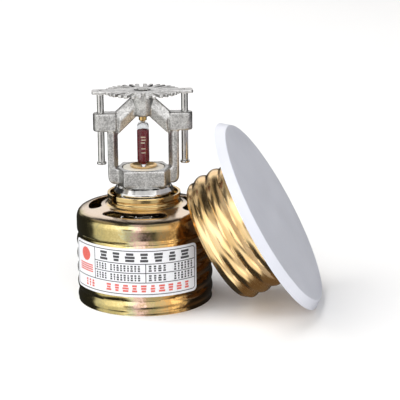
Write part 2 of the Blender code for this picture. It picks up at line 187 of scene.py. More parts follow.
def lathe(profile, steps=96, closed=False, shape=None):
    """A profile of (radius, height) turned about Z, outer side listed downwards.

    shape(angle, radius, height) may give each point another radius and height.
    """
    verts = []
    rows = []
    for radius, height in profile:
        if radius < 1e-6:
            rows.append([len(verts)] * steps)
            verts.append((0.0, 0.0, height))
            continue
        rows.append(list(range(len(verts), len(verts) + steps)))
        for j in range(steps):
            angle = 360.0 * j / steps
            r, z = shape(angle, radius, height) if shape else (radius, height)
            verts.append((*polar(r, angle), z))
    pairs = list(zip(rows, rows[1:]))
    if closed:
        pairs.append((rows[-1], rows[0]))
    faces = []
    for upper, lower in pairs:
        for j in range(steps):
            k = (j + 1) % steps
            loop = [upper[j], lower[j], lower[k], upper[k]]
            face = [v for i, v in enumerate(loop) if v != loop[i - 1]]
            if len(set(face)) >= 3:
                faces.append(face)
    return mesh_from(verts, faces)


def prism(outline, low, high, upright=False):
    """A closed outline pushed out between two heights, or along Y if upright."""
    def spot(x, y, level):
        return (x, level, y) if upright else (x, y, level)
    count = len(outline)
    verts = [spot(x, y, low) for x, y in outline] + [spot(x, y, high) for x, y in outline]
    faces = [list(range(count))[::-1], list(range(count, 2 * count))]
    faces += [[i, (i + 1) % count, count + (i + 1) % count, count + i] for i in range(count)]
    return edited(mesh_from(verts, faces), outwards)


def edited(mesh, *changes):
    """The mesh, after each change has been made to its editable form."""
    work = bmesh.new()
    work.from_mesh(mesh)
    for change in changes:
        change(work)
    work.to_mesh(mesh)
    work.free()
    return mesh


def outwards(work):
    bmesh.ops.recalc_face_normals(work, faces=work.faces)


def weld(work):
    bmesh.ops.remove_doubles(work, verts=work.verts, dist=0.002 * MM)


def drop_loose(work):
    bmesh.ops.delete(work, geom=[v for v in work.verts if not v.link_faces], context="VERTS")


def wrap_up(work):
    """Stretches a convex skin over the points."""
    made = bmesh.ops.convex_hull(work, input=work.verts)
    bmesh.ops.delete(work, geom=made["geom_interior"], context="VERTS")


def joined(meshes):
    """Several meshes as one."""
    work = bmesh.new()
    for mesh in meshes:
        work.from_mesh(mesh)
    whole = bpy.data.meshes.new("shape")
    work.to_mesh(whole)
    work.free()
    for mesh in meshes:
        bpy.data.meshes.remove(mesh)
    return whole


def added(name, data):
    """A new object in the scene."""
    obj = bpy.data.objects.new(name, data)
    bpy.context.scene.collection.objects.link(obj)
    return obj


def baked(obj):
    """The object's mesh with its modifiers applied; the object itself is removed."""
    bpy.context.view_layer.update()
    mesh = bpy.data.meshes.new_from_object(obj.evaluated_get(bpy.context.evaluated_depsgraph_get()))
    bpy.data.objects.remove(obj, do_unlink=True)
    return mesh


def cut(mesh, cutter):
    """The first mesh with the second taken away."""
    body = added("body", mesh)
    tool = added("tool", cutter)
    step = body.modifiers.new("cut", "BOOLEAN")
    step.operation = "DIFFERENCE"
    step.solver = "EXACT"
    step.object = tool
    result = baked(body)
    bpy.data.objects.remove(tool, do_unlink=True)
    return result


def soften(obj, width, segments, angle):
    edges = obj.modifiers.new("edges", "BEVEL")
    edges.width = width * MM
    edges.segments = segments
    edges.limit_method = "ANGLE"
    edges.angle_limit = math.radians(angle)


def bevelled(mesh, width, segments=2, angle=40.0):
    obj = added("work", mesh)
    soften(obj, width, segments, angle)
    return baked(obj)


def walled(mesh, thickness, offset=-1.0, width=0.0, segments=2):
    """A surface given a thickness, inwards by default, with softened edges if a width is given."""
    obj = added("work", mesh)
    wall = obj.modifiers.new("wall", "SOLIDIFY")
    wall.thickness = thickness * MM
    wall.offset = offset
    if width > 0.0:
        soften(obj, width, segments, 55.0)
    return baked(obj)


def smooth(mesh, angle=40.0):
    mesh.shade_smooth()
    mesh.set_sharp_from_angle(angle=math.radians(angle))
    return mesh


def piece(name, mesh, place, body, slot, look, *nodes):
    """Puts a finished mesh in place and ties it to its CAD body, its finish and the nodes it stands for."""
    mesh.transform(place.to_3x3().to_4x4())
    obj = added(name, mesh)
    obj.location = place.translation
    mesh.materials.clear()
    mesh.materials.append(look)
    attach(obj, body)
    if nodes:
        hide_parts(*nodes)


# --- small helpers for node trees ---
class Graph:
    """Short ways to add nodes to a node tree."""

    def __init__(self, tree):
        self.nodes = tree.nodes
        self.links = tree.links

    def math(self, operation, first, second=None):
        node = self.nodes.new("ShaderNodeMath")
        node.operation = operation
        for socket, value in zip(node.inputs, (first, second)):
            if isinstance(value, (int, float)):
                socket.default_value = value
            elif value is not None:
                self.links.new(value, socket)
        return node.outputs["Value"]

    def spread(self, value, low, high, out_low=0.0, out_high=1.0):
        node = self.nodes.new("ShaderNodeMapRange")
        node.interpolation_type = "SMOOTHSTEP"
        for socket, number in zip(node.inputs[1:5], (low, high, out_low, out_high)):
            socket.default_value = number
        self.links.new(value, node.inputs["Value"])
        return node.outputs["Result"]


class Look(Graph):
    """A node material with a Principled shader, and short ways to add what feeds it."""

    def __init__(self, name, metallic=0.0, roughness=0.5, **values):
        self.material = bpy.data.materials.new(name)
        self.material.use_nodes = True
        super().__init__(self.material.node_tree)
        self.shader = self.nodes["Principled BSDF"]
        self.shader.inputs["Metallic"].default_value = metallic
        self.shader.inputs["Roughness"].default_value = roughness
        for socket, value in values.items():
            self.shader.inputs[socket.replace("_", " ").title().replace("Ior", "IOR")].default_value = value
        self.place = self.nodes.new("ShaderNodeTexCoord").outputs["Object"]

    def feed(self, output, socket):
        self.links.new(output, self.shader.inputs[socket])

    def stretched(self, scale):
        """The place on the piece, scaled differently along each axis."""
        node = self.nodes.new("ShaderNodeMapping")
        node.inputs["Scale"].default_value = scale
        self.links.new(self.place, node.inputs["Vector"])
        return node.outputs["Vector"]

    def noise(self, size_mm, detail=3.0, vector=None, distortion=0.0):
        node = self.nodes.new("ShaderNodeTexNoise")
        node.inputs["Scale"].default_value = 1.0 / (size_mm * MM)
        node.inputs["Detail"].default_value = detail
        node.inputs["Distortion"].default_value = distortion
        self.links.new(vector or self.place, node.inputs["Vector"])
        return node.outputs["Fac"]

    def axis(self, name):
        node = self.nodes.new("ShaderNodeSeparateXYZ")
        self.links.new(self.place, node.inputs["Vector"])
        return node.outputs[name]

    def ramp(self, value, stops):
        node = self.nodes.new("ShaderNodeValToRGB")
        elements = node.color_ramp.elements
        while len(elements) < len(stops):
            elements.new(0.5)
        for element, (position, colour) in zip(elements, stops):
            element.position = position
            element.color = (*colour, 1.0)
        self.links.new(value, node.inputs["Fac"])
        return node.outputs["Color"]

    def mixed(self, share, first, second):
        node = self.nodes.new("ShaderNodeMix")
        node.data_type = "RGBA"
        self.links.new(share, node.inputs["Factor"])
        for socket, value in zip((node.inputs["A"], node.inputs["B"]), (first, second)):
            if isinstance(value, tuple):
                socket.default_value = (*value, 1.0)
            else:
                self.links.new(value, socket)
        return node.outputs["Result"]

    def tint(self, value, dark, light, low=0.3, high=0.7):
        """Colour that goes from dark to light as the value goes from low to high."""
        self.feed(self.ramp(value, ((low, dark), (high, light))), "Base Color")

    def bump(self, height, strength, depth_mm):
        node = self.nodes.new("ShaderNodeBump")
        node.inputs["Strength"].default_value = strength
        node.inputs["Distance"].default_value = depth_mm * MM
        self.links.new(height, node.inputs["Height"])
        self.feed(node.outputs["Normal"], "Normal")

    def worn(self, size_mm, low, high, detail=4.0):
        """Roughness that drifts between two values."""
        self.feed(self.spread(self.noise(size_mm, detail), 0.3, 0.7, low, high), "Roughness")


# --- materials ---
def zinc_look():
    """Yellow passivated zinc: its thin coat drifts at random between olive, straw, gold and pink, and
    painted reflection and shade darken it towards the middle and the right.
    """
    look = Look("yellow_zinc", metallic=1.0, roughness=0.18)
    cloud = look.math("MULTIPLY", look.math("SUBTRACT", look.noise(7.0, 3.0, None, 0.4), 0.5), 0.30)
    fine = look.math("MULTIPLY", look.math("SUBTRACT", look.noise(0.9, 5.0), 0.5), 0.22)
    # painted reflection and shade: the colour also follows X across the cup, olive and gold at the left,
    # dark brown in the middle, darkest at the right
    film_and_painted_shade = look.math("ADD", look.spread(look.axis("X"), -0.03, 0.03), look.math("ADD", cloud, fine))
    stops = (
        (0.06, (0.44, 0.38, 0.18)),
        (0.17, (0.57, 0.46, 0.19)),
        (0.25, (0.68, 0.55, 0.25)),
        (0.32, (0.66, 0.64, 0.38)),
        (0.41, (0.72, 0.49, 0.40)),
        (0.49, (0.42, 0.30, 0.17)),
        (0.57, (0.34, 0.28, 0.13)),
        (0.66, (0.42, 0.28, 0.12)),
        (0.73, (0.50, 0.28, 0.09)),
        (0.79, (0.84, 0.50, 0.17)),
        (0.88, (0.26, 0.16, 0.08)),
    )
    side = look.ramp(film_and_painted_shade, stops)
    lift = look.math("ADD", look.axis("Z"), look.math("MULTIPLY", cloud, 0.006))
    flat = look.spread(lift, 0.0378, 0.0392)
    neck = look.spread(lift, 0.0402, 0.0412)
    colour = look.mixed(flat, side, (0.70, 0.57, 0.44))
    look.feed(look.mixed(neck, colour, (0.68, 0.50, 0.23)), "Base Color")
    look.worn(5.0, 0.12, 0.22)
    look.bump(look.noise(0.5, 4.0), 0.10, 0.04)
    return look.material


def paper_look():
    look = Look("label_paper", roughness=0.42, specular_ior_level=0.45)
    fibres = look.noise(0.7, 5.0)
    look.tint(fibres, (0.75, 0.76, 0.79), (0.82, 0.83, 0.86))
    look.worn(6.0, 0.35, 0.5)
    look.bump(fibres, 0.1, 0.03)
    return look.material


def ink_look(name, dark, light):
    look = Look(name, roughness=0.5)
    look.tint(look.noise(0.35, 3.0), dark, light, 0.35, 0.65)
    look.bump(look.noise(0.2, 2.0), 0.1, 0.01)
    return look.material


def casting_look():
    """Nickel over a cast surface: satin, finely grained, with brighter worn patches."""
    look = Look("cast_nickel", metallic=1.0, roughness=0.4)
    grain = look.noise(0.6, 3.0)
    patches = look.math("MULTIPLY", look.noise(3.0, 5.0), 0.4)
    tone = look.math("ADD", patches, look.math("MULTIPLY", grain, 0.6))
    look.tint(tone, (0.35, 0.35, 0.345), (0.70, 0.70, 0.69), 0.40, 0.60)
    look.worn(1.2, 0.33, 0.45)
    look.bump(grain, 0.16, 0.05)
    return look.material


def chrome_look(name, tint, ring_mm=0.25, low=0.06, high=0.16):
    """Turned and plated metal, with faint rings from the tool."""
    look = Look(name, metallic=1.0, roughness=0.12)
    rings = look.noise(ring_mm, 3.0, look.stretched((0.02, 0.02, 1.0)))
    bright = tuple(min(1.0, c * 1.06) for c in tint)
    dull = tuple(c * 0.9 for c in tint)
    look.tint(look.noise(4.0, 3.0), dull, bright)
    look.worn(2.0, low, high)
    look.bump(rings, 0.12, 0.02)
    return look.material


def stamped_look():
    """Nickel-plated stamping, finely brushed along X."""
    look = Look("deflector_nickel", metallic=1.0, roughness=0.3)
    brushed = look.noise(0.25, 3.0, look.stretched((0.08, 1.0, 1.0)))
    look.tint(look.noise(1.6, 4.0), (0.58, 0.58, 0.57), (0.82, 0.82, 0.81), 0.35, 0.65)
    look.worn(2.5, 0.26, 0.42)
    look.bump(brushed, 0.25, 0.03)
    return look.material


def glass_look():
    look = Look("bulb_glass", roughness=0.0, transmission_weight=1.0, ior=1.47)
    look.tint(look.noise(5.0), (0.76, 0.77, 0.78), (0.82, 0.83, 0.84))
    look.bump(look.noise(4.0, 1.0), 0.05, 0.05)
    return look.material


def liquid_look():
    look = Look("bulb_liquid", roughness=0.08, ior=1.36)
    depth = look.noise(2.5, 2.0)
    look.tint(depth, (0.22, 0.022, 0.03), (0.29, 0.035, 0.045), 0.35, 0.65)
    look.bump(depth, 0.03, 0.05)
    return look.material


def brass_look(name, dark, light, low, high):
    look = Look(name, metallic=1.0, roughness=0.2)
    look.tint(look.noise(2.2, 4.0), dark, light)
    look.worn(1.5, low, high)
    look.bump(look.noise(0.3, 3.0, look.stretched((0.15, 0.15, 1.0))), 0.12, 0.02)
    return look.material


def coating_look():
    look = Look("washer_coating", roughness=0.4)
    speck = look.noise(0.8, 5.0)
    look.tint(speck, (0.78, 0.72, 0.60), (0.88, 0.83, 0.72), 0.3, 0.6)
    look.bump(speck, 0.2, 0.04)
    return look.material


def seal_look():
    look = Look("seal_ptfe", roughness=0.5, subsurface_weight=0.1)
    speck = look.noise(0.9, 3.0)
    look.tint(speck, (0.78, 0.78, 0.76), (0.86, 0.86, 0.84))
    look.bump(speck, 0.1, 0.03)
    return look.material


def sleeve_look():
    """Bright rolled brass-coloured sheet, with soft streaks round it."""
    look = Look("sleeve_brass", metallic=1.0, roughness=0.18)
    cloud = look.noise(9.0, 1.0, None, 0.5)
    stops = ((0.3, (0.86, 0.58, 0.27)), (0.5, (0.92, 0.65, 0.33)), (0.7, (0.96, 0.72, 0.40)))
    look.feed(look.ramp(cloud, stops), "Base Color")
    look.worn(9.0, 0.19, 0.24)
    look.bump(look.noise(1.2, 2.0), 0.03, 0.02)
    return look.material


def paint_look():
    """White powder coat with its orange peel."""
    look = Look("white_paint", roughness=0.36, specular_ior_level=0.5)
    peel = look.noise(1.1, 2.0)
    tone = look.noise(25.0, 3.0)
    look.tint(tone, (0.76, 0.78, 0.86), (0.81, 0.83, 0.91), 0.35, 0.65)
    look.worn(8.0, 0.3, 0.42)
    look.bump(peel, 0.22, 0.06)
    return look.material


def solder_look():
    look = Look("solder", metallic=1.0, roughness=0.4)
    grain = look.noise(0.5, 5.0)
    look.tint(grain, (0.48, 0.48, 0.50), (0.66, 0.66, 0.68))
    look.bump(grain, 0.4, 0.06)
    return look.material


def floor_look():
    look = Look("studio_floor", roughness=0.9, specular_ior_level=0.1)
    look.tint(look.noise(400.0, 2.0), (0.93, 0.93, 0.93), (0.95, 0.95, 0.95))
    return look.material


# --- the support cup and its label ---
def ridge(turns, roundness):
    """1 on a crest, at a whole number of turns, and 0 in the narrow valley between two crests."""
    return (math.cos(math.pi * turns) ** 2 + 0.003) ** (roundness / 2.0)


def cup_thread(angle, radius, height):
    """The rolled thread: it fades out under the plain band and over the rim."""
    if radius < 27.0 or height > CUP_THREAD_TOP + 1.5:
        return radius, height
    turns = (height - CUP_CREST_HEIGHT - PITCH * angle / 360.0) / PITCH
    share = smoothstep(0.0, 2.2, height)
    share *= 1.0 - smoothstep(CUP_THREAD_TOP - 2.2, CUP_THREAD_TOP + 0.6, height)
    drop = CUP_THREAD_DEPTH * (1.0 - ridge(turns, 0.8))
    return radius - drop * share, height


def slot_distance(x, y, start, end):
    """How far a point is outside one curved vent slot, in plan; negative inside it."""
    inner, outer = SLOT_RADII
    half = (outer - inner) / 2.0
    ring = (outer + inner) / 2.0
    trim = math.degrees(half / ring)
    centre = (start + end) / 2.0
    reach = (end - start) / 2.0 - trim
    turn = (math.degrees(math.atan2(y, x)) - centre + 180.0) % 360.0 - 180.0
    nearest = polar(ring, centre + max(-reach, min(reach, turn)))
    return math.hypot(x - nearest[0], y - nearest[1]) - half


def open_slots(work):
    """Deletes what lies in a slot, then draws the ragged edge on to the slot's true outline."""
    inner, outer = SLOT_RADII[0] - 1.0, SLOT_RADII[1] + 1.0
    top = [f for f in work.faces if f.calc_center_median().z > SLOTTED_FROM * MM]
    top = [f for f in top if inner < f.calc_center_median().xy.length / MM < outer]
    for start, end in SLOT_ANGLES:
        inside = []
        for face in top:
            if face.is_valid:
                spot = face.calc_center_median() / MM
                if slot_distance(spot.x, spot.y, start, end) < 0.0:
                    inside.append(face)
        edge = {v for f in inside for v in f.verts if any(g not in inside for g in v.link_faces)}
        bmesh.ops.delete(work, geom=inside, context="FACES")
        for vert in edge:
            snap_to_slot(vert, start, end)


def snap_to_slot(vert, start, end):
    step = 0.01
    for _ in range(3):
        x, y = vert.co.x / MM, vert.co.y / MM
        gap = slot_distance(x, y, start, end)
        dx = (slot_distance(x + step, y, start, end) - gap) / step
        dy = (slot_distance(x, y + step, start, end) - gap) / step
        vert.co.x -= gap * dx * MM
        vert.co.y -= gap * dy * MM
    radius = vert.co.xy.length / MM
    vert.co.z = (CONE_FOOT[1] - (radius - CONE_FOOT[0]) * CONE_SLOPE) * MM


def open_slit(work):
    """The open slit in the neck, drawn straight-sided."""
    along = Vector((*polar(1.0, SLIT_ANGLE), 0.0))
    across = Vector((-along.y, along.x, 0.0))
    half = SLIT_WIDTH / 2.0 * MM
    inside = []
    for face in work.faces:
        spot = face.calc_center_median()
        if spot.z > SLIT_BOTTOM * MM and spot.dot(along) > 0.0 and abs(spot.dot(across)) < half:
            inside.append(face)
    edge = {v for f in inside for v in f.verts if any(g not in inside for g in v.link_faces)}
    bmesh.ops.delete(work, geom=inside, context="FACES")
    for vert in edge:
        side = vert.co.dot(across)
        if abs(side) > half * 0.5:
            vert.co += across * (math.copysign(half, side) - side)


def cup_sheet():
    """The outer surface of the cup, from the neck down to the rim, with its thread, slots and slit."""
    path = rounded([
        (NECK_RADIUS - 0.05, NECK_TOP, 0.0),
        (NECK_RADIUS, 43.7, 0.5),
        (NECK_RADIUS - 0.45, 42.7, 0.5),
        (NECK_RADIUS + 0.15, 41.9, 0.4),
        (NECK_RADIUS - 0.1, 41.2, 0.3),
        (*CONE_FOOT, 0.7),
        (CUP_CORNER, CONE_FOOT[1] - (CUP_CORNER - CONE_FOOT[0]) * CONE_SLOPE, 4.8),
        (CUP_CORNER, CUP_THREAD_TOP, 0.5),
        (CUP_CREST, 28.0, 0.5),
        (CUP_CREST, 2.0, 1.0),
        (CUP_CREST - 0.3, 0.0, 0.0),
    ], closed=False)
    mesh = lathe(resampled(path, 0.55), 260, shape=cup_thread)
    return edited(mesh, open_slots, open_slit, drop_loose)


def make_cup(look):
    shell = walled(cup_sheet(), SHEET, width=0.16)
    for vert in shell.vertices:
        vert.co.z = max(vert.co.z, 0.0)
    piece("support_cup_steel", smooth(shell), CUP, "cup", "yellow_zinc", look, "support_cup")


def wrapped(x, height, radius):
    """A point x millimetres to the right of the label's middle line, on the cup."""
    return (*polar(radius, LABEL_FRONT + math.degrees(x / LABEL_RADIUS)), height)


def label_sheet(corner):
    """The paper, with round corners, bent round the cup."""
    left, right, low, high = LABEL_LEFT, LABEL_RIGHT, LABEL_LOW, LABEL_HIGH
    ends = [corner * (1.0 - math.cos(math.radians(a))) for a in range(0, 91, 15)]
    inner = [left + corner + (right - left - 2 * corner) * i / 80 for i in range(1, 80)]
    columns = [left + x for x in ends] + inner + [right - x for x in reversed(ends)]
    rows = 8
    verts = []
    for x in columns:
        near = max(0.0, corner - (x - left), corner - (right - x))
        cut_back = corner - math.sqrt(max(0.0, corner ** 2 - near ** 2))
        for j in range(rows + 1):
            height = low + cut_back + (high - low - 2 * cut_back) * j / rows
            verts.append(wrapped(x, height, LABEL_RADIUS))
    faces = []
    for i in range(len(columns) - 1):
        for j in range(rows):
            a = i * (rows + 1) + j
            faces.append([a, a + rows + 1, a + rows + 2, a + 1])
    return smooth(walled(mesh_from(verts, faces), LABEL_PAPER, offset=1.0))


def frame_line(left, right, low, high, corner):
    """A closed rectangle with round corners."""
    path = arc(right - corner, high - corner, corner, 90, 0, 5)
    path += arc(right - corner, low + corner, corner, 0, -90, 5)
    path += arc(left + corner, low + corner, corner, -90, -180, 5)
    path += arc(left + corner, high - corner, corner, 180, 90, 5)
    return path + path[:1]


def printed(strokes):
    """Ink on the label: each stroke is (path, width), a thin raised strip that follows the cup."""
    radius = LABEL_RADIUS + LABEL_PAPER - 0.01
    verts = []
    faces = []
    for path, width in strokes:
        fine = resampled(path, 1.0)
        for i, (x, z) in enumerate(fine):
            before = Vector(fine[max(i - 1, 0)])
            after = Vector(fine[min(i + 1, len(fine) - 1)])
            if fine[0] == fine[-1] and i in (0, len(fine) - 1):
                before, after = Vector(fine[-2]), Vector(fine[1])
            along = (after - before).normalized()
            side = Vector((-along.y, along.x)) * width / 2.0
            verts.append(wrapped(x + side.x, z + side.y, radius))
            verts.append(wrapped(x - side.x, z - side.y, radius))
            if i:
                n = len(verts)
                faces.append([n - 4, n - 3, n - 1, n - 2])
    return walled(mesh_from(verts, faces), LABEL_INK, offset=1.0)


def bar(x, z, length, height):
    """A filled block of ink as one stroke."""
    return ([(x, z), (x + length, z)], height)


def greeked(left, right, z, count, height):
    """A row of plain blocks where a line of print would be: each is a few stacked dashes."""
    strokes = []
    pitch = (right - left) / count
    for i in range(count):
        width = pitch * (0.62, 0.5, 0.7, 0.56)[i % 4]
        x = left + pitch * (i + 0.5) - width / 2.0
        for row in range(3):
            inset = width * ((0.0, 0.12, 0.04)[(i + row) % 3])
            strokes.append(bar(x + inset, z + height * (row - 1) * 0.36, width - 2 * inset, height * 0.27))
    return strokes


def label_lines():
    """The black print: frame, table lines, a title row and two rows of small entries."""
    left, right = LABEL_LEFT + LABEL_MARGIN, LABEL_RIGHT - LABEL_MARGIN
    low, high = LABEL_LOW + LABEL_MARGIN, LABEL_HIGH - LABEL_MARGIN
    split, column = LABEL_SPLIT, LABEL_COLUMN
    title, row, table = LABEL_ROWS
    lines = [(frame_line(left, right, low, high, 1.3), LABEL_LINE)]
    lines.append(([(split, high), (split, table)], LABEL_LINE))
    lines.append(([(column, title), (column, table)], LABEL_LINE))
    for start, z in ((split, title), (split, row), (left, table)):
        lines.append(([(start, z), (right, z)], LABEL_LINE))
    lines += greeked(split + 1.8, right - 2.2, (high + title) / 2.0, 7, 3.7)
    for z in ((title + row) / 2.0, (row + table) / 2.0):
        lines += greeked(split + 0.6, split + 6.2, z, 4, 2.6)
        lines += greeked(split + 7.4, column - 2.0, z, 9, 2.6)
        lines += greeked(column + 0.8, column + 8.6, z, 4, 2.6)
        lines += greeked(column + 11.4, right - 1.0, z, 6, 2.9)
    return lines


def label_blocks():
    """The red print: a plain disc over four bars, and the bottom line."""
    left, right = LABEL_LEFT + LABEL_MARGIN, LABEL_RIGHT - LABEL_MARGIN
    z = (LABEL_LOW + LABEL_MARGIN + LABEL_ROWS[2]) / 2.0
    blocks = greeked(left + 6.6, left + 12.4, z, 3, 3.0)
    blocks += greeked(LABEL_SPLIT + 5.0, right - 2.4, z, 10, 3.0)
    emblem = (left + LABEL_SPLIT) / 2.0 + 0.6
    disc_radius, disc_middle, disc_strip = 2.9, 23.6, 0.43
    for step in range(-6, 7):
        half = disc_radius * math.sqrt(1.0 - (step / 6.5) ** 2)
        blocks.append(bar(emblem - half, disc_middle + step * disc_strip, 2 * half, disc_strip + 0.01))
    return blocks + [bar(emblem - 4.4, 19.4 - drop, 8.8, 0.55) for drop in (0.0, 0.9, 1.8, 2.7)]


def make_label(paper, black, red):
    piece("label_sheet", label_sheet(1.8), CUP, "cup", "label_paper", paper, "label")
    piece("label_lines", printed(label_lines()), CUP, "cup", "label_paper", black)
    piece("label_blocks", printed(label_blocks()), CUP, "cup", "label_paper", red)


# --- the sprinkler head ---
HEX_PLAN = [(8.5, -9.5), (11.3, 0.0), (8.5, 9.5), (-8.5, 9.5), (-11.3, 0.0), (-8.5, -9.5)]
HEX_FOOT = 48.95
HEX_TOP = 55.9
ARM_REACH = 7.4                 # from its foot towards the boss, level
ARM_SLOPE = 0.93
DEFLECTOR_TOP = 88.0
DEFLECTOR_SHEET = 1.2


def leg(side):
    """One leg, with the quarter turn at its foot: four layers, so that its inner edges slope."""
    layers = []
    for inner, half in ((10.4, 1.0), (10.85, 1.65), (11.3, 2.3), (11.75, 2.9)):
        points = [(7.5, 55.0, 0.0), (7.5, 49.05, 0.0), (14.7, HEX_FOOT, 4.6), (14.7, 78.6, 0.0)]
        points += [(inner, 78.6, 0.0), (inner, 56.0, 1.6), (9.0, 55.0, 0.0)]
        outline = [(side * x, z) for x, z in rounded(points)]
        layers.append(bevelled(prism(outline, -half, half, upright=True), 0.8, 3, 50.0))
    return layers


def arm(side):
    """One sloping arm, which swells to a blunt ridge along its middle."""
    outer, crown, inner = (11.6, 78.7), (9.4, 75.6), (10.2, 70.0)
    points = []
    for slide, half in ((0.0, 2.9), (1.0, 1.9)):
        shift = slide * ARM_REACH
        for (x, z), depth in ((outer, half - 1.0), (crown, half + 0.35), (inner, half - 1.1)):
            points.append((side * (x - shift), depth, z + shift * ARM_SLOPE))
            points.append((side * (x - shift), -depth, z + shift * ARM_SLOPE))
    return edited(mesh_from(points, []), wrap_up)


def ear(side):
    """The boss at the arm's foot that guides a pin, round at its outer end."""
    ends = arc(PIN_X, 0.0, 3.2, -90.0, 90.0, 16)
    plan = [(side * x, y) for x, y in [(11.0, -3.2)] + ends + [(11.0, 3.2)]]
    return bevelled(prism(plan, 71.3, 78.9), 0.5, 3, 60.0)


def casting_mesh():
    """Hexagon, legs, arms, guides and the screw's boss, under one softened skin."""
    boss = rounded([(0.0, 86.5, 0.0), (4.5, 86.5, 0.3), (4.5, 84.4, 0.6), (3.55, 77.6, 0.8),
                    (2.6, 77.1, 0.3), (0.0, 77.1, 0.0)])
    shapes = [bevelled(prism(HEX_PLAN, HEX_FOOT, HEX_TOP), 0.45, 2, 30.0)]
    shapes.append(lathe(boss, 64))
    for side in (-1, 1):
        shapes += leg(side) + [arm(side), ear(side)]
    obj = added("casting", joined(shapes))
    skin = obj.modifiers.new("skin", "REMESH")
    skin.mode = "VOXEL"
    skin.voxel_size = CASTING_VOXEL * MM
    soft = obj.modifiers.new("soft", "SMOOTH")
    soft.factor = 0.5
    soft.iterations = 5
    return baked(obj)


def machined(mesh):
    """The holes that are bored after casting: waterway, seat, tapped hole and both pin bores."""
    seat = rounded([(0.0, 58.0, 0.0), (9.6, 58.0, 0.0), (9.0, 55.75, 0.0), (9.0, 54.6, 0.2),
                    (6.4, 54.6, 0.15), (6.4, 46.0, 0.0), (0.0, 46.0, 0.0)])
    tapped = [(0.0, 88.0), (2.9, 88.0), (2.65, 86.0), (2.65, 78.3), (2.0, 77.6), (2.0, 76.0), (0.0, 76.0)]
    guide = [(0.0, 80.0), (1.8, 80.0), (1.58, 78.6), (1.58, 70.0), (0.0, 70.0)]
    tools = [lathe(seat, 96), lathe(tapped, 48)]
    for side in (-1, 1):
        bore = lathe(guide, 32)
        bore.transform(Matrix.Translation((side * PIN_X * MM, 0.0, 0.0)))
        tools.append(bore)
    return cut(mesh, joined(tools))


def pipe_thread(angle, radius, height):
    """A 55 degree taper pipe thread on the nipple."""
    if radius < 9.6 or not 30.2 < height < 41.2:
        return radius, height
    pitch = 1.814
    turns = (height - pitch * angle / 360.0) / pitch
    tooth = abs((turns % 1.0) - 0.5) * 2.0
    share = smoothstep(30.2, 31.4, height) * (1.0 - smoothstep(39.4, 41.0, height))
    return radius - 0.95 * share * smoothstep(0.05, 0.95, tooth), height


def make_body(look):
    """The machined end of the frame: flange, shoulder and threaded nipple, round the waterway."""
    outer = rounded([
        (9.4, 49.3, 0.0),
        (9.9, 49.1, 0.2),
        (10.9, 48.7, 0.3),
        (11.5, 48.1, 0.6),
        (12.0, 47.3, 0.6),
        (12.55, 46.4, 0.3),
        (12.6, 45.2, 0.3),
        (12.1, 44.8, 0.2),
        (11.8, 44.8, 0.1),
        (11.8, 40.9, 0.3),
        (10.5, 40.9, 0.2),
        (10.1, 31.0, 0.4),
        (9.2, 29.5, 0.1),
    ], closed=False)
    bore = [(6.7, 29.5), (6.4, 29.9), (6.4, 49.3)]
    mesh = lathe(resampled(outer, 0.18) + bore, 128, closed=True, shape=pipe_thread)
    piece("sprinkler_body", smooth(mesh, 30.0), CUP, "head", "cast_nickel", look, "sprinkler_frame")


def screw_thread(angle, radius, height):
    if radius < 2.2 or not 78.6 < height < 84.2:
        return radius, height
    turns = (height - 0.8 * angle / 360.0) / 0.8
    return radius - 0.35 * abs((turns % 1.0) - 0.5) * 2.0, height


def make_screw(look):
    profile = rounded([(0.0, 84.6, 0.0), (2.05, 84.6, 0.1), (2.3, 84.3, 0.1), (2.3, 78.5, 0.1),
                       (1.67, 77.9, 0.15), (1.67, 75.6, 0.2), (1.3, 75.2, 0.1), (0.0, 75.2, 0.0)],
                      closed=False)
    mesh = lathe(resampled(profile, 0.15), 64, shape=screw_thread)
    socket = [polar(1.25, 60.0 * k + 30.0) for k in range(6)]
    mesh = smooth(cut(mesh, prism(socket, 82.6, 86.0)), 30.0)
    piece("compression_screw_turned", mesh, CUP, "screw", "screw_brass", look, "compression_screw")


def make_bulb(glass, liquid, marking):
    """The glass is hollow and drawn to a sealed tip; the liquid wets it and leaves a bubble at the top."""
    outer = [(0.0, 75.15)] + arc(0.0, 72.65, 2.5, 85.0, 0.0, 12) + [(2.5, 66.0), (2.5, 59.4)]
    outer += rounded([(2.5, 59.2, 0.0), (2.4, 57.9, 0.6), (1.35, 57.0, 0.5), (1.0, 56.3, 0.4),
                      (0.75, 55.75, 0.2), (0.0, 55.7, 0.0)], closed=False)
    inner = [(0.0, 57.5), (0.6, 57.55), (1.3, 58.0), (1.85, 58.7), (2.08, 59.6), (2.1, 66.0), (2.1, 72.6)]
    inner += arc(0.0, 72.6, 2.1, 10.0, 85.0, 10) + [(0.0, 74.7)]
    shell = lathe(outer, 72)
    hollow = lathe(inner, 72)
    mesh = joined([shell, hollow])
    piece("bulb_glass_blown", smooth(mesh, 60.0), CUP, "head", "bulb_glass", glass, "bulb_glass")
    column = [(0.0, 70.75), (0.9, 70.8), (1.6, 70.95), (1.95, 71.2), (2.12, 71.5), (2.13, 66.0)]
    column += [(2.12, 59.6), (1.88, 58.65), (1.32, 57.95), (0.6, 57.48), (0.0, 57.43)]
    fill = lathe(column, 72)
    piece("bulb_liquid_column", smooth(fill, 60.0), CUP, "head", "bulb_liquid", liquid, "bulb_liquid")
    make_bulb_marking(marking)


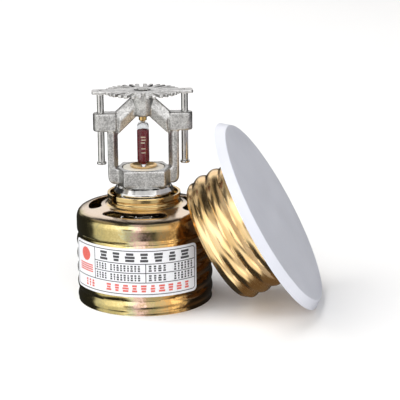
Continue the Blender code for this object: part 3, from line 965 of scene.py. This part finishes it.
def make_bulb_marking(look):
    """A few plain printed dashes down the front of the glass."""
    verts = []
    faces = []
    for low, high, left, right in ((68.4, 68.9, -24, 22), (67.2, 67.7, -18, 24), (66.0, 66.5, -24, 14),
                                   (63.6, 64.0, -20, 20), (61.9, 62.3, -20, 20)):
        first = len(verts)
        for k in range(9):
            angle = -90.0 + left + (right - left) * k / 8
            for radius, z in ((2.505, high), (2.505, low), (2.535, low), (2.535, high)):
                verts.append((*polar(radius, angle), z))
        for k in range(8):
            a = first + 4 * k
            faces += [[a + i, a + (i + 1) % 4, a + 4 + (i + 1) % 4, a + 4 + i] for i in range(4)]
        faces += [[first + i for i in range(4)][::-1], [first + 32 + i for i in range(4)]]
    mesh = edited(mesh_from(verts, faces), outwards)
    piece("bulb_marking", mesh, CUP, "head", "bulb_glass", look)


def make_valve(copper, coating, seal):
    cap = rounded([(0.0, 55.05, 0.0), (0.85, 55.1, 0.1), (1.35, 55.7, 0.15), (1.9, 55.7, 0.15),
                   (2.5, 55.25, 0.3), (4.2, 55.85, 0.8), (5.35, 56.8, 0.12), (5.65, 56.65, 0.12),
                   (5.6, 56.25, 0.08), (4.5, 56.15, 0.08), (4.4, 52.8, 0.1), (3.9, 52.4, 0.2),
                   (0.0, 52.4, 0.0)], closed=False)
    mesh = lathe(resampled(cap, 0.3), 96)
    piece("valve_cap_pressed", smooth(mesh), CUP, "head", "cap_copper", copper, "valve_cap")
    washer = rounded([(4.8, 55.92, 0.08), (8.6, 55.75, 0.12), (8.6, 55.35, 0.12), (4.8, 55.52, 0.08)])
    mesh = lathe(resampled(washer, 0.4), 96, closed=True)
    piece("spring_washer_coated", smooth(mesh), CUP, "head", "washer_coating", coating, "spring_washer")
    ring = rounded([(6.8, 55.12, 0.05), (8.3, 55.05, 0.05), (8.3, 54.88, 0.05), (6.8, 54.88, 0.05)])
    mesh = lathe(ring, 96, closed=True)
    piece("sealing_ring_soft", smooth(mesh), CUP, "head", "seal_ptfe", seal, "sealing_ring")


# --- the deflector and its guide pins ---
def tooth_gap(angle, width, inner, outer):
    """A round-bottomed cut into the disc's edge, as points met going counter-clockwise."""
    half = width / 2.0
    reach = math.sqrt(outer * outer - (half + 0.35) ** 2)
    local = [(reach, -half - 0.35), (reach - 0.3, -half)]
    local += arc(inner + half, 0.0, half, 270.0, 90.0, 8)
    local += [(reach - 0.3, half), (reach, half + 0.35)]
    c, s = polar(1.0, angle)
    return [(x * c - y * s, x * s + y * c) for x, y in local]


def deflector_plan():
    """The right pad, the teeth up to the left pad, then both again turned by half a turn."""
    radius, tip, pad = 15.5, 20.7, 3.2
    root = math.degrees(math.asin(pad / radius))
    half = [polar(radius, -root + 0.6), (radius + 0.9, -pad)]
    half += arc(tip - 1.4, -pad + 1.4, 1.4, -90.0, 0.0, 6)
    half += arc(tip - 1.4, pad - 1.4, 1.4, 0.0, 90.0, 6)
    half += [(radius + 0.9, pad), polar(radius, root - 0.6)]
    for number in range(2, 15):
        deep = number % 2 == 0
        width, inner = (1.7, 7.6) if deep else (1.2, 12.4)
        half += tooth_gap(11.25 * number, width, inner, radius)
    return half + [(-x, -y) for x, y in half]


def make_deflector(look):
    """A stamping with softened edges, a hole for each pin and a raised ring round its middle hole."""
    bevel = 0.16
    curve = bpy.data.curves.new("deflector_stamped", "CURVE")
    curve.dimensions = "2D"
    curve.fill_mode = "BOTH"
    curve.extrude = (DEFLECTOR_SHEET / 2.0 - bevel) * MM
    curve.bevel_depth = bevel * MM
    curve.bevel_resolution = 2
    curve.offset = -bevel * MM
    holes = [arc(0.0, 0.0, 2.7, 360.0, 7.5, 47)]
    holes += [arc(side * PIN_X, 0.0, 1.12, 360.0, 15.0, 23) for side in (-1, 1)]
    for outline in [deflector_plan()] + holes:
        spline = curve.splines.new("POLY")
        spline.points.add(len(outline) - 1)
        for point, (x, y) in zip(spline.points, outline):
            point.co = (x * MM, y * MM, 0.0, 1.0)
        spline.use_cyclic_u = True
    mesh = baked(added("outline", curve))
    mesh.transform(Matrix.Translation((0.0, 0.0, (DEFLECTOR_TOP - DEFLECTOR_SHEET / 2.0) * MM)))
    mesh = edited(mesh, weld)
    ring = rounded([(2.75, DEFLECTOR_TOP, 0.05), (3.5, DEFLECTOR_TOP, 0.1), (3.8, 87.7, 0.1),
                    (3.8, 86.55, 0.1), (2.75, 86.55, 0.05)])
    mesh = smooth(joined([mesh, lathe(ring, 72, closed=True)]), 30.0)
    piece("deflector_stamped", mesh, CUP, "deflector_set", "deflector_nickel", look, "deflector")


def make_pins(look):
    """Each pin is staked into its pad at the top, and has a flat head at its foot."""
    profile = rounded([(0.0, 87.85, 0.0), (0.45, 87.85, 0.1), (0.7, 87.98, 0.1), (1.0, 87.9, 0.05),
                       (1.0, 86.5, 0.05), (1.4, 86.5, 0.1), (1.4, 58.5, 0.1), (1.95, 58.2, 0.1),
                       (1.95, 57.45, 0.2), (1.7, 57.2, 0.1), (0.9, 57.25, 0.1), (0.6, 57.6, 0.1),
                       (0.0, 57.6, 0.0)], closed=False)
    for side, hand in ((-1, "left"), (1, "right")):
        node = f"guide_pin_{hand}"
        mesh = smooth(lathe(resampled(profile, 0.5), 48))
        place = CUP @ Matrix.Translation((side * PIN_X * MM, 0.0, 0.0))
        piece(f"{node}_turned", mesh, place, "deflector_set", "pin_steel", look, node)


# --- the cover ---
def sleeve_thread(angle, radius, offset):
    """The sleeve's rolled valleys; the last runs out round the back, before the sleeve's plain end."""
    if radius < 25.9:
        return radius, offset
    turn = (angle + 180.0) % 360.0 - 180.0
    start, place = SLEEVE_LAST_VALLEY
    turns = (offset - place) / PITCH - (turn - start) / 360.0
    share = 1.0 if turns < -0.5 else 1.0 - smoothstep(*SLEEVE_RUN_OUT, turn)
    depth = 0.0 if turns > 0.5 else 1.0 - ridge(turns + 0.5, 1.0)
    share *= smoothstep(SLEEVE_MOUTH + 0.4, SLEEVE_MOUTH + 2.2, offset)
    return radius - SLEEVE_THREAD_DEPTH * depth * share, offset


def make_sleeve(look):
    path = rounded([
        (21.0, 0.9, 0.0),
        (27.2, 0.9, 1.0),
        (27.2, -4.6, 1.5),
        (SLEEVE_CREST, -8.1, 1.0),
        (SLEEVE_CREST, -20.5, 1.6),
        (26.2, -22.6, 0.8),
        (25.5, SLEEVE_MOUTH, 0.0),
    ], closed=False)
    mesh = lathe(resampled(path, 0.4), 300, shape=sleeve_thread)
    mesh = smooth(walled(mesh, SLEEVE_SHEET, width=0.2, segments=3))
    piece("cover_sleeve_rolled", mesh, COVER, "sleeve", "sleeve_brass", look, "cover_sleeve")


def make_plate(look):
    """The dished plate: a flat face, a sloping rim and an edge turned under."""
    profile = rounded([
        (0.0, 4.04, 0.0),
        (20.0, 3.89, 20.0),
        (34.0, 3.64, 10.0),
        (40.13, 3.44, 0.5),
        (42.45, 0.4, 0.5),
        (42.88, -0.05, 0.15),
        (42.65, -0.3, 0.15),
        (42.2, -0.25, 0.15),
        (41.6, 0.3, 0.4),
        (39.5, 2.75, 0.8),
        (20.0, 3.24, 5.0),
        (0.0, 3.4, 0.0),
    ], closed=False)
    mesh = lathe(resampled(profile, 1.0), 220)
    piece("cover_plate_painted", smooth(mesh, 50.0), COVER, "cover", "white_paint", look, "cover_plate")


def make_solder(look):
    profile = rounded([(0.0, 2.5, 0.0), (0.9, 2.5, 0.2), (1.3, 2.1, 0.3), (1.25, 1.2, 0.1),
                       (0.0, 1.2, 0.0)], closed=False)
    for number in (1, 2, 3):
        node = f"solder_pad_{number}"
        spot = COVER.inverted() @ middle(node)
        place = COVER @ Matrix.Translation((spot.x, spot.y, 0.0))
        mesh = smooth(lathe(resampled(profile, 0.2), 40))
        piece(f"{node}_melted", mesh, place, "cover", "solder", look, node)


# --- studio ---
class Sky(Graph):
    """The studio, painted by direction: azimuth 0 is in front of the object, to its right is positive."""

    def __init__(self, base):
        world = bpy.data.worlds.new("studio")
        world.use_nodes = True
        bpy.context.scene.world = world
        super().__init__(world.node_tree)
        where = self.nodes.new("ShaderNodeTexCoord").outputs["Generated"]
        split = self.nodes.new("ShaderNodeSeparateXYZ")
        self.links.new(where, split.inputs["Vector"])
        front = self.math("MULTIPLY", split.outputs["Y"], -1.0)
        turn = self.math("ARCTAN2", split.outputs["X"], front)
        self.azimuth = self.math("MULTIPLY", turn, 180.0 / math.pi)
        self.around = self.math("ABSOLUTE", self.azimuth)
        lift = self.math("ARCSINE", split.outputs["Z"])
        self.elevation = self.math("MULTIPLY", lift, 180.0 / math.pi)
        self.total = base

    def window(self, value, low, high, soft):
        """1 between low and high, fading over soft degrees either side."""
        rise = self.spread(value, low - soft, low + soft)
        fall = self.spread(value, high - soft, high + soft, 1.0, 0.0)
        return self.math("MULTIPLY", rise, fall)

    def panel(self, azimuth, elevation, colour, soft=(5.0, 5.0), behind=False):
        """Adds a soft-edged panel of light."""
        across = self.window(self.around if behind else self.azimuth, *azimuth, soft[0])
        up = self.window(self.elevation, *elevation, soft[1])
        share = self.math("MULTIPLY", across, up)
        scaled = self.nodes.new("ShaderNodeVectorMath")
        scaled.operation = "SCALE"
        scaled.inputs[0].default_value = colour
        self.links.new(share, scaled.inputs["Scale"])
        total = self.nodes.new("ShaderNodeVectorMath")
        total.operation = "ADD"
        self.links.new(scaled.outputs["Vector"], total.inputs[0])
        if isinstance(self.total, tuple):
            total.inputs[1].default_value = self.total
        else:
            self.links.new(self.total, total.inputs[1])
        self.total = total.outputs["Vector"]

    def finish(self):
        self.links.new(self.total, self.nodes["Background"].inputs["Color"])


def make_sky():
    """Wide panels in front and low down light the metal; the dark between them gives it its edges."""
    sky = Sky((0.035, 0.035, 0.035))
    sky.panel((-76.0, 60.0), (-4.0, 43.0), (1.70, 1.68, 1.67))
    sky.panel((-45.0, 65.0), (43.0, 72.0), (0.70, 0.69, 0.68))
    sky.panel((-40.0, -22.0), (-3.0, 10.0), (-1.50, -1.52, -1.54), (3.0, 3.0))
    # the left side
    sky.panel((-128.0, -76.0), (33.0, 58.0), (0.40, 0.36, 0.30))
    sky.panel((-98.0, -76.0), (-4.0, 30.0), (1.35, 1.34, 1.32))
    # below the horizon
    sky.panel((-97.0, -36.0), (-40.0, -4.0), (1.0, 1.0, 0.96), (4.0, 4.0))
    sky.panel((-36.0, -12.0), (-24.0, -4.0), (0.62, 0.58, 0.58), (4.0, 4.0))
    sky.panel((18.0, 74.0), (-40.0, -4.0), (0.62, 0.61, 0.60), (4.0, 4.0))
    sky.panel((-40.0, 58.0), (-70.0, -26.0), (1.15, 1.12, 1.08), (8.0, 5.0))
    sky.panel((-20.0, 16.0), (-28.0, -20.0), (0.80, 0.78, 0.75), (5.0, 3.0))
    sky.panel((66.0, 200.0), (-90.0, -30.0), (0.11, 0.07, 0.035), (6.0, 6.0))
    sky.panel((146.0, 200.0), (10.0, 40.0), (1.15, 1.13, 1.13), (8.0, 7.0), behind=True)
    sky.finish()


def area_light(name, spot, aim, size, watts):
    """A soft lamp that lights matt surfaces only, so that it draws no glint on the metal."""
    lamp = bpy.data.lights.new(name, "AREA")
    lamp.size = size
    lamp.energy = watts
    obj = added(name, lamp)
    obj.location = spot
    obj.rotation_euler = (Vector(aim) - Vector(spot)).to_track_quat("-Z", "Y").to_euler()
    obj.visible_glossy = False


def make_shade():
    """Painted shade: a dark disc on the floor inside the cup, which only mirror-like surfaces see."""
    mesh = lathe([(0.0, 0.06), (26.8, 0.06)], 64)
    shade = added("cup_shade", mesh)
    shade.matrix_world = CUP
    look = Look("cup_shade", roughness=0.9)
    look.tint(look.noise(9.0), (0.010, 0.010, 0.010), (0.016, 0.015, 0.014))
    mesh.materials.append(look.material)
    for rays in ("camera", "diffuse", "transmission", "shadow"):
        setattr(shade, f"visible_{rays}", False)


def make_floor():
    mesh = bpy.data.meshes.new("studio_floor")
    half = FLOOR_SIZE / 2.0
    corners = [(-half, -half, FLOOR), (half, -half, FLOOR), (half, half, FLOOR), (-half, half, FLOOR)]
    mesh.from_pydata(corners, [], [(0, 1, 2, 3)])
    floor = added("studio_floor", mesh)
    mesh.materials.append(floor_look())
    floor.visible_glossy = False


def make_studio():
    make_sky()
    area_light("key", spot=(-1.4, 0.28, 2.4), aim=(0.0, 0.0, 0.0), size=2.4, watts=70.0)
    make_floor()
    make_shade()
    bpy.context.scene.view_settings.view_transform = "Standard"


def make_camera():
    data = bpy.data.cameras.new("camera")
    data.lens = 120.0
    data.sensor_width = 36.0
    data.clip_end = 20.0
    camera = added("camera", data)
    yaw, pitch, roll = 0.0761, 0.2528, -0.0065      # in radians: to the right, downwards, tilted
    ahead = Vector((math.sin(yaw) * math.cos(pitch), math.cos(yaw) * math.cos(pitch), -math.sin(pitch)))
    level = Vector((math.cos(yaw), -math.sin(yaw), 0.0))
    upward = level.cross(ahead)
    right = level * math.cos(roll) + upward * math.sin(roll)
    top = upward * math.cos(roll) - level * math.sin(roll)
    turn = Matrix((right, top, -ahead)).transposed()
    from_cup = (-17.75, -539.55, 180.59)
    spot = CUP.translation + Vector(from_cup) * MM
    camera.matrix_world = Matrix.Translation(spot) @ turn.to_4x4()
    bpy.context.scene.camera = camera


def make_cup_pieces():
    black = ink_look("black_ink", (0.035, 0.035, 0.04), (0.07, 0.07, 0.075))
    red = ink_look("red_ink", (0.62, 0.09, 0.07), (0.72, 0.16, 0.13))
    make_cup(zinc_look())
    make_label(paper_look(), black, red)


def make_head_pieces():
    casting = smooth(machined(casting_mesh()), 35.0)
    piece("sprinkler_casting", casting, CUP, "head", "cast_nickel", casting_look(), "sprinkler_frame")
    make_body(chrome_look("flange_chrome", (0.80, 0.80, 0.79)))
    make_screw(brass_look("screw_brass", (0.72, 0.48, 0.18), (0.86, 0.62, 0.30), 0.12, 0.24))
    marking = ink_look("bulb_ink", (0.45, 0.30, 0.22), (0.58, 0.42, 0.32))
    make_bulb(glass_look(), liquid_look(), marking)
    copper = brass_look("cap_copper", (0.84, 0.55, 0.24), (0.95, 0.73, 0.40), 0.26, 0.38)
    make_valve(copper, coating_look(), seal_look())
    make_deflector(stamped_look())
    make_pins(chrome_look("pin_steel", (0.72, 0.72, 0.71), 0.4, 0.10, 0.22))


def make_cover_pieces():
    make_sleeve(sleeve_look())
    make_plate(paint_look())
    make_solder(solder_look())


make_camera()
make_studio()
make_cup_pieces()
make_head_pieces()
make_cover_pieces()
